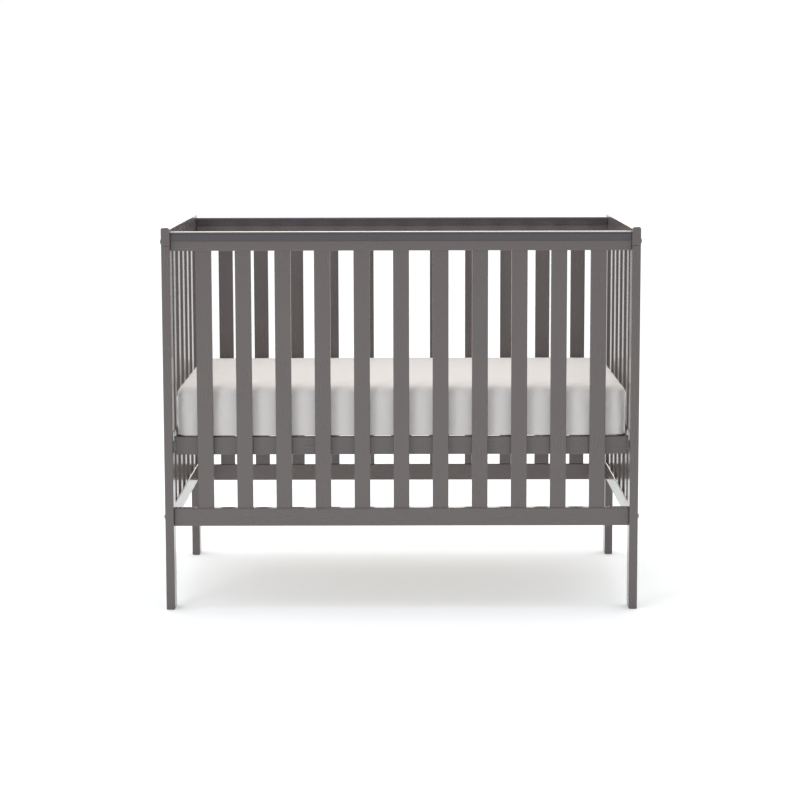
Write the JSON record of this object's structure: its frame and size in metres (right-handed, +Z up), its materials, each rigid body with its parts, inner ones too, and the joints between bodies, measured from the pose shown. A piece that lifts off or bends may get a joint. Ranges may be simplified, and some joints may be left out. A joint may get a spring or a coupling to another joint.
{
  "type": "baby crib",
  "caption": "Compact slatted baby crib with fixed sides, a height-adjustable slatted base, teething covers and a mattress in a fitted sheet.",
  "frame": {"origin": "on the floor, under the middle of the crib", "axes": "+X along the length towards the right end panel, +Y from the front side to the rear side, +Z up"},
  "size_m": [1.0538, 0.56, 0.85],
  "materials": {
    "painted_timber": "satin taupe grey paint over solid timber",
    "teething_cover": "smooth satin plastic, slightly bluer grey than the paint",
    "bare_slats": "unpainted sanded pine",
    "dowel_timber": "fluted beech",
    "bolt_heads": "domed heads painted to match the timber",
    "zinc_steel": "bright zinc plated",
    "brass_insert": "machined",
    "mattress_foam": "quilted mattress ticking",
    "sheet_cotton": "plain cream jersey cotton"
  },
  "bodies": {
    "frame": {"leg_front_left": "painted_timber", "leg_rear_left": "painted_timber", "leg_front_right": "painted_timber", "leg_rear_right": "painted_timber", "end_top_rail_left": "painted_timber", "end_top_rail_right": "painted_timber", "end_bottom_rail_left": "painted_timber", "end_bottom_rail_right": "painted_timber", "end_slat_left_1": "painted_timber", "end_slat_left_2": "painted_timber", "end_slat_left_3": "painted_timber", "end_slat_left_4": "painted_timber", "end_slat_left_5": "painted_timber", "end_slat_right_1": "painted_timber", "end_slat_right_2": "painted_timber", "end_slat_right_3": "painted_timber", "end_slat_right_4": "painted_timber", "end_slat_right_5": "painted_timber", "side_top_rail_front": "painted_timber", "side_top_rail_rear": "painted_timber", "side_bottom_rail_front": "painted_timber", "side_bottom_rail_rear": "painted_timber", "side_slat_front_01": "painted_timber", "side_slat_front_02": "painted_timber", "side_slat_front_03": "painted_timber", "side_slat_front_04": "painted_timber", "side_slat_front_05": "painted_timber", "side_slat_front_06": "painted_timber", "side_slat_front_07": "painted_timber", "side_slat_front_08": "painted_timber", "side_slat_front_09": "painted_timber", "side_slat_front_10": "painted_timber", "side_slat_front_11": "painted_timber", "side_slat_rear_01": "painted_timber", "side_slat_rear_02": "painted_timber", "side_slat_rear_03": "painted_timber", "side_slat_rear_04": "painted_timber", "side_slat_rear_05": "painted_timber", "side_slat_rear_06": "painted_timber", "side_slat_rear_07": "painted_timber", "side_slat_rear_08": "painted_timber", "side_slat_rear_09": "painted_timber", "side_slat_rear_10": "painted_timber", "side_slat_rear_11": "painted_timber", "teething_rail_front": "teething_cover", "teething_rail_rear": "teething_cover", "frame_bolts": "bolt_heads", "barrel_nuts": "zinc_steel", "frame_dowels": "dowel_timber", "threaded_inserts": "brass_insert", "height_studs": "zinc_steel"},
    "mattress_base": {"base_side_rail_front": "painted_timber", "base_side_rail_rear": "painted_timber", "base_end_rail_left": "painted_timber", "base_end_rail_right": "painted_timber", "base_slats": "bare_slats", "hook_brackets": "zinc_steel", "base_screws": "zinc_steel"},
    "bedding": {"mattress": "mattress_foam", "fitted_sheet": "sheet_cotton"}
  },
  "joints": [
    {"name": "base_height", "type": "slide", "parent": "frame", "child": "mattress_base", "axis": [0, 0, 1], "range_m": [0, 0.144]},
    {"name": "mattress_lift", "type": "slide", "parent": "mattress_base", "child": "bedding", "axis": [0, 0, 1], "range_m": [0, 0.48]}
  ]
}
